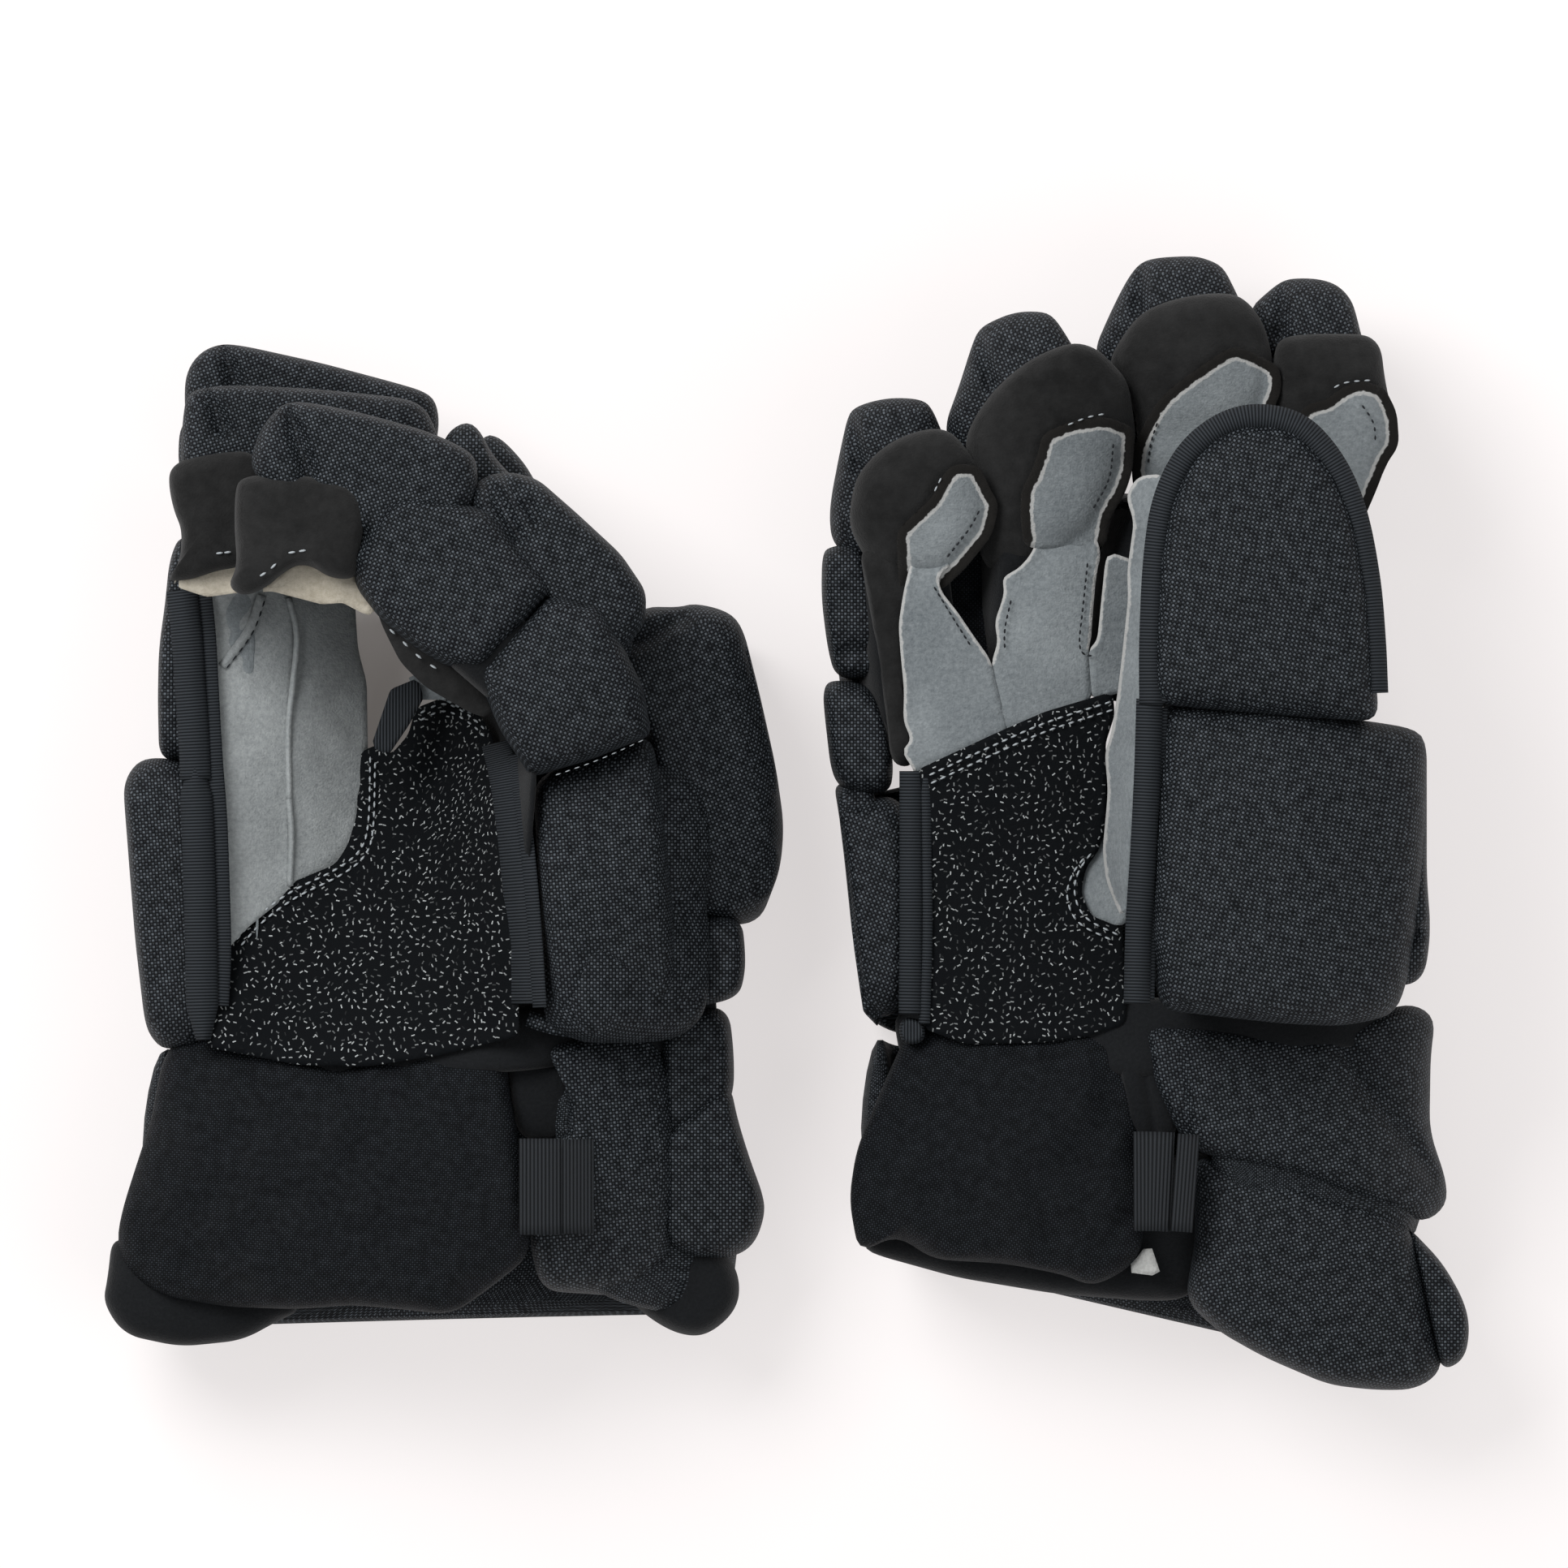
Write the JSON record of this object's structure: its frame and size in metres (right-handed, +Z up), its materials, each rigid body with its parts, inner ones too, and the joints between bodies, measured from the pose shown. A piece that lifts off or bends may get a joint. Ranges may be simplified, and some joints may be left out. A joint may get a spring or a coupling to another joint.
{
  "type": "pair of ice hockey gloves",
  "caption": "Pair of black padded ice hockey gloves lying palm up, the left folded into a grip and the right open, with hinged fingers, thumbs and flared cuffs",
  "frame": {"origin": "On the ground under the middle of the pair", "axes": "+X across the pair from the left-hand glove to the right-hand glove, +Y from the cuffs to the fingertips, +Z up out of the palms"},
  "size_m": [0.4194, 0.3552, 0.1266],
  "materials": {
    "black_nylon": "black basket-weave nylon over foam",
    "fingertip_suede": "charcoal suede with a velvety nap",
    "palm_suede": "grey mottled palm suede",
    "palm_overlay": "black reinforcement cloth with short white flecks",
    "webbing": "black ribbed elastic webbing"
  },
  "bodies": {
    "hands": {"left_backhand_roll": "black_nylon", "left_knuckle_roll": "black_nylon", "left_little_side_roll": "black_nylon", "left_palm_overlay": "palm_overlay", "left_palm_panel": "palm_suede", "left_thumb_base_pad": "black_nylon", "left_thumb_gusset": "palm_suede", "right_backhand_roll": "black_nylon", "right_knuckle_roll": "black_nylon", "right_little_side_roll": "black_nylon", "right_palm_overlay": "palm_overlay", "right_palm_panel": "palm_suede", "right_thumb_base_pad": "black_nylon", "right_thumb_gusset": "palm_suede"},
    "right_little_base": {"right_little_base_pad": "black_nylon", "right_little_base_sleeve": "palm_suede"},
    "right_little_tip": {"right_little_tip_pad": "black_nylon", "right_little_tip_stall": "fingertip_suede"},
    "right_ring_base": {"right_ring_base_pad": "black_nylon", "right_ring_base_sleeve": "palm_suede"},
    "right_ring_tip": {"right_ring_tip_pad": "black_nylon", "right_ring_tip_stall": "fingertip_suede"},
    "right_middle_base": {"right_middle_base_pad": "black_nylon", "right_middle_base_sleeve": "palm_suede"},
    "right_middle_tip": {"right_middle_tip_pad": "black_nylon", "right_middle_tip_stall": "fingertip_suede"},
    "right_index_base": {"right_index_base_pad": "black_nylon", "right_index_base_sleeve": "palm_suede"},
    "right_index_tip": {"right_index_tip_pad": "black_nylon", "right_index_tip_stall": "fingertip_suede"},
    "right_thumb_tip": {"right_thumb_tip_pad": "black_nylon", "right_thumb_tip_stall": "palm_suede"},
    "right_cuff": {"right_cuff_elastic_tab": "webbing", "right_cuff_lower_roll": "black_nylon", "right_cuff_palm_panel": "black_nylon", "right_cuff_upper_roll": "black_nylon"},
    "left_little_base": {"left_little_base_pad": "black_nylon", "left_little_base_sleeve": "palm_suede"},
    "left_little_tip": {"left_little_tip_pad": "black_nylon", "left_little_tip_stall": "fingertip_suede"},
    "left_ring_base": {"left_ring_base_pad": "black_nylon", "left_ring_base_sleeve": "palm_suede"},
    "left_ring_tip": {"left_ring_tip_pad": "black_nylon", "left_ring_tip_stall": "fingertip_suede"},
    "left_middle_base": {"left_middle_base_pad": "black_nylon", "left_middle_base_sleeve": "palm_suede"},
    "left_middle_tip": {"left_middle_tip_pad": "black_nylon", "left_middle_tip_stall": "fingertip_suede"},
    "left_index_base": {"left_index_base_pad": "black_nylon", "left_index_base_sleeve": "palm_suede"},
    "left_index_tip": {"left_index_tip_pad": "black_nylon", "left_index_tip_stall": "fingertip_suede"},
    "left_thumb_tip": {"left_thumb_tip_pad": "black_nylon", "left_thumb_tip_stall": "palm_suede"},
    "left_cuff": {"left_cuff_elastic_tab": "webbing", "left_cuff_lower_roll": "black_nylon", "left_cuff_palm_panel": "black_nylon", "left_cuff_upper_roll": "black_nylon"}
  },
  "joints": [
    {"name": "right_little_knuckle", "type": "hinge", "parent": "hands", "child": "right_little_base", "pos_m": [0.0467, 0.02397, 0.0595], "axis": [0.9565, 0.1344, -0.2588], "range_deg": [-8, 30]},
    {"name": "right_little_middle", "type": "hinge", "parent": "right_little_base", "child": "right_little_tip", "pos_m": [0.04066, 0.08496, 0.06887], "axis": [0.9565, 0.1344, -0.2588], "range_deg": [-14, 40]},
    {"name": "right_ring_knuckle", "type": "hinge", "parent": "hands", "child": "right_ring_base", "pos_m": [0.0812, 0.03027, 0.0595], "axis": [0.9658, 0.0169, -0.2588], "range_deg": [-8, 30]},
    {"name": "right_ring_middle", "type": "hinge", "parent": "right_ring_base", "child": "right_ring_tip", "pos_m": [0.08273, 0.09549, 0.06947], "axis": [0.9658, 0.0169, -0.2588], "range_deg": [-14, 40]},
    {"name": "right_middle_knuckle", "type": "hinge", "parent": "hands", "child": "right_middle_base", "pos_m": [0.1127, 0.03397, 0.0595], "axis": [0.9587, -0.1177, -0.2588], "range_deg": [-4, 4]},
    {"name": "right_middle_middle", "type": "hinge", "parent": "right_middle_base", "child": "right_middle_tip", "pos_m": [0.12219, 0.09905, 0.06506], "axis": [0.9587, -0.1177, -0.2588], "range_deg": [-9, 4]},
    {"name": "right_index_knuckle", "type": "hinge", "parent": "hands", "child": "right_index_base", "pos_m": [0.1437, 0.03777, 0.0595], "axis": [0.954, -0.1511, -0.2588], "range_deg": [-4, 4]},
    {"name": "right_index_middle", "type": "hinge", "parent": "right_index_base", "child": "right_index_tip", "pos_m": [0.15439, 0.0966, 0.06455], "axis": [0.954, -0.1511, -0.2588], "range_deg": [-9, 4]},
    {"name": "right_thumb_fold", "type": "hinge", "parent": "hands", "child": "right_thumb_tip", "pos_m": [0.1517, 0.03537, 0.0775], "axis": [-1, 0, 0], "range_deg": [-8, 3]},
    {"name": "right_wrist", "type": "hinge", "parent": "hands", "child": "right_cuff", "pos_m": [0.1017, -0.07003, 0.0875], "axis": [-1, 0, 0], "range_deg": [0, 15]},
    {"name": "left_little_knuckle", "type": "hinge", "parent": "hands", "child": "left_little_base", "pos_m": [-0.0783, 0.02697, 0.1034], "axis": [0, 0, 1], "range_deg": [-25, 2]},
    {"name": "left_little_middle", "type": "hinge", "parent": "left_little_base", "child": "left_little_tip", "pos_m": [-0.12437, 0.06846, 0.1034], "axis": [0, 0, 1], "range_deg": [-38, 3]},
    {"name": "left_ring_knuckle", "type": "hinge", "parent": "hands", "child": "left_ring_base", "pos_m": [-0.081, 0.03997, 0.0738], "axis": [0, 0, 1], "range_deg": [-25, 2]},
    {"name": "left_ring_middle", "type": "hinge", "parent": "left_ring_base", "child": "left_ring_tip", "pos_m": [-0.13005, 0.08413, 0.0738], "axis": [0, 0, 1], "range_deg": [-38, 3]},
    {"name": "left_middle_knuckle", "type": "hinge", "parent": "hands", "child": "left_middle_base", "pos_m": [-0.0836, 0.05297, 0.0442], "axis": [0, 0, 1], "range_deg": [-25, 1]},
    {"name": "left_middle_middle", "type": "hinge", "parent": "left_middle_base", "child": "left_middle_tip", "pos_m": [-0.13265, 0.09713, 0.0442], "axis": [0, 0, 1], "range_deg": [-38, 1]},
    {"name": "left_index_knuckle", "type": "hinge", "parent": "hands", "child": "left_index_base", "pos_m": [-0.0863, 0.06597, 0.0146], "axis": [0, 0, 1], "range_deg": [-25, 1]},
    {"name": "left_index_middle", "type": "hinge", "parent": "left_index_base", "child": "left_index_tip", "pos_m": [-0.13089, 0.10612, 0.0146], "axis": [0, 0, 1], "range_deg": [-38, 1]},
    {"name": "left_thumb_fold", "type": "hinge", "parent": "hands", "child": "left_thumb_tip", "pos_m": [-0.1623, 0.00247, 0.029], "axis": [0, 0, -1], "range_deg": [-8, 0]},
    {"name": "left_wrist", "type": "hinge", "parent": "hands", "child": "left_cuff", "pos_m": [-0.0983, -0.07003, 0.0955], "axis": [-1, 0, 0], "range_deg": [0, 15]}
  ]
}
